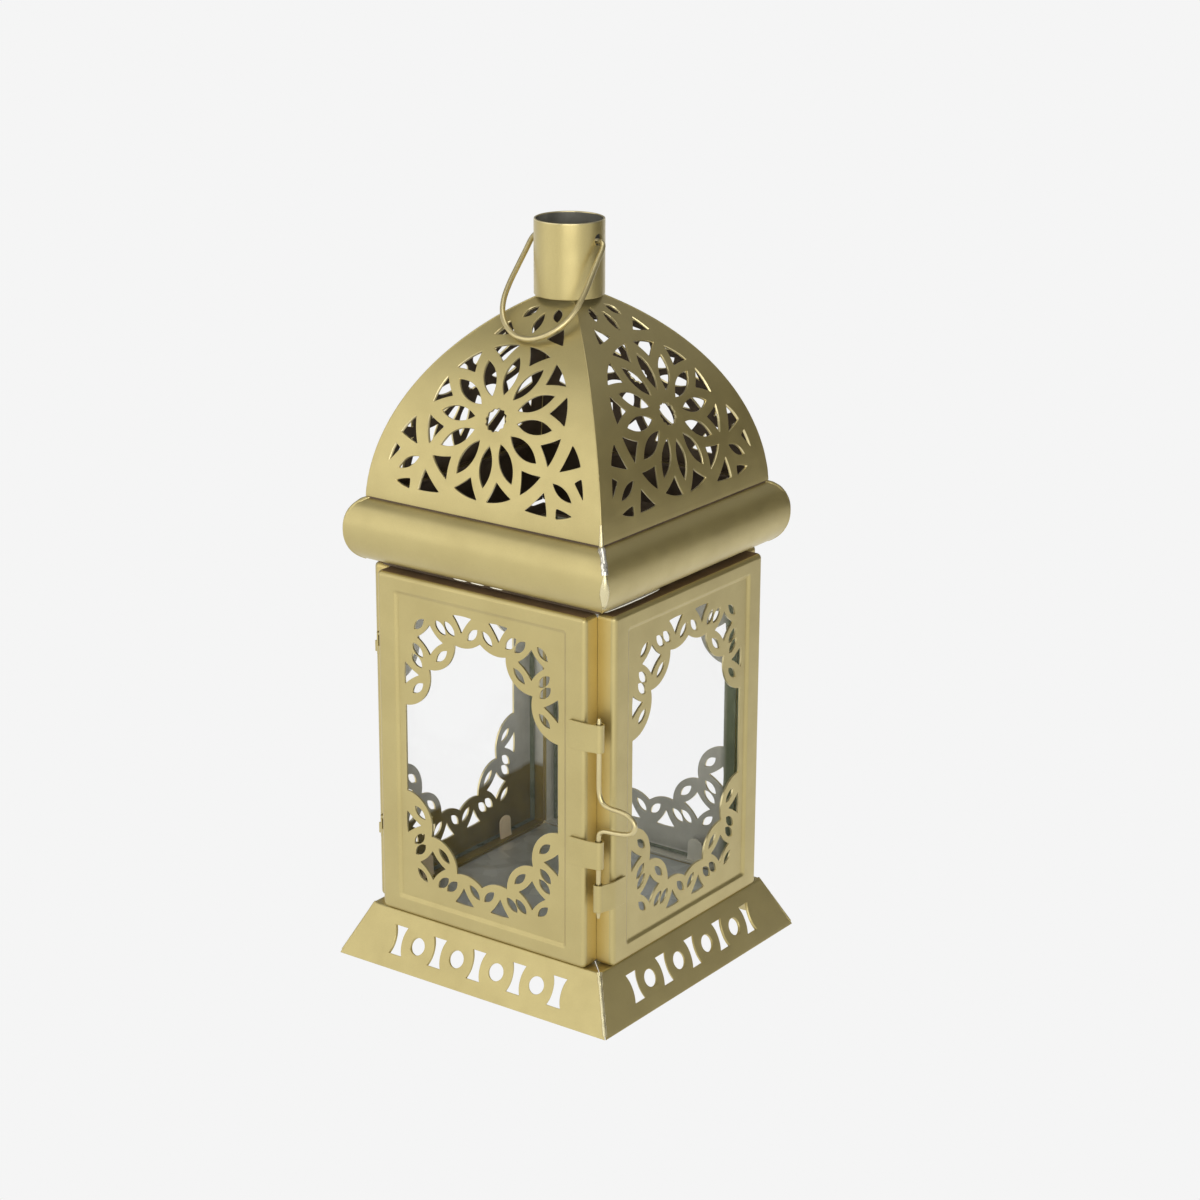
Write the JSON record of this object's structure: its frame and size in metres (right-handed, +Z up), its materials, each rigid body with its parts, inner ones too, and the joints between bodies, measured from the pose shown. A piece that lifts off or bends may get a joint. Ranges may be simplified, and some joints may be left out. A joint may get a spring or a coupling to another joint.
{
  "type": "candle lantern",
  "caption": "Square pressed-metal candle lantern with lace-cut glazed windows, a hinged and bolted door, a pierced dome, a chimney tube and a wire bail.",
  "frame": {"origin": "centre of the whole footprint, on the surface it stands on; the lantern's own axis is at x = -2.8 mm, because the bolt's thumb loop reaches past the base at +X", "axes": "+Z up along the lantern's axis, -Y out of the door, +X towards the side that carries the catch"},
  "size_m": [0.1176, 0.112, 0.2514],
  "materials": {
    "lacquered_gold": "satin",
    "lacquered_wire": "semi-gloss",
    "dark_sheet": "matte",
    "zinc_sheet": "dull",
    "pin_steel": "satin",
    "window_glass": "clear"
  },
  "bodies": {
    "lantern": {"base_skirt_front": "lacquered_gold", "base_skirt_right": "lacquered_gold", "base_skirt_back": "lacquered_gold", "base_skirt_left": "lacquered_gold", "base_corner_strip_front_right": "lacquered_gold", "base_corner_strip_back_right": "lacquered_gold", "base_corner_strip_back_left": "lacquered_gold", "base_corner_strip_front_left": "lacquered_gold", "floor_plate": "zinc_sheet", "right_panel": "lacquered_gold", "back_panel": "lacquered_gold", "left_panel": "lacquered_gold", "right_glass": "window_glass", "back_glass": "window_glass", "left_glass": "window_glass", "top_frame": "dark_sheet", "cornice_front": "lacquered_gold", "cornice_right": "lacquered_gold", "cornice_back": "lacquered_gold", "cornice_left": "lacquered_gold", "dome_gore_front": "lacquered_gold", "dome_gore_right": "lacquered_gold", "dome_gore_back": "lacquered_gold", "dome_gore_left": "lacquered_gold", "chimney_tube": "lacquered_gold", "catch_clip": "lacquered_gold", "frame_hinge_upper": "lacquered_gold", "hinge_pin_upper": "pin_steel", "frame_hinge_lower": "lacquered_gold", "hinge_pin_lower": "pin_steel"},
    "door": {"door_panel": "lacquered_gold", "door_glass": "window_glass", "latch_clip_upper": "lacquered_gold", "latch_clip_lower": "lacquered_gold", "door_hinge_upper": "lacquered_gold", "door_hinge_lower": "lacquered_gold"},
    "bolt": {"latch_bolt": "lacquered_wire"},
    "bail": {"bail_handle": "lacquered_wire"}
  },
  "joints": [
    {"name": "door_swing", "type": "hinge", "parent": "lantern", "child": "door", "pos_m": [-0.0471, -0.0443, 0.0784], "axis": [0, 0, -1], "range_deg": [0, 110]},
    {"name": "bolt_slide", "type": "slide", "parent": "door", "child": "bolt", "axis": [0, 0, 1], "range_m": [0, 0.013]},
    {"name": "bail_swing", "type": "hinge", "parent": "lantern", "child": "bail", "pos_m": [-0.0028, 0, 0.2449], "axis": [-1, 0, 0], "range_deg": [0, 280]}
  ]
}
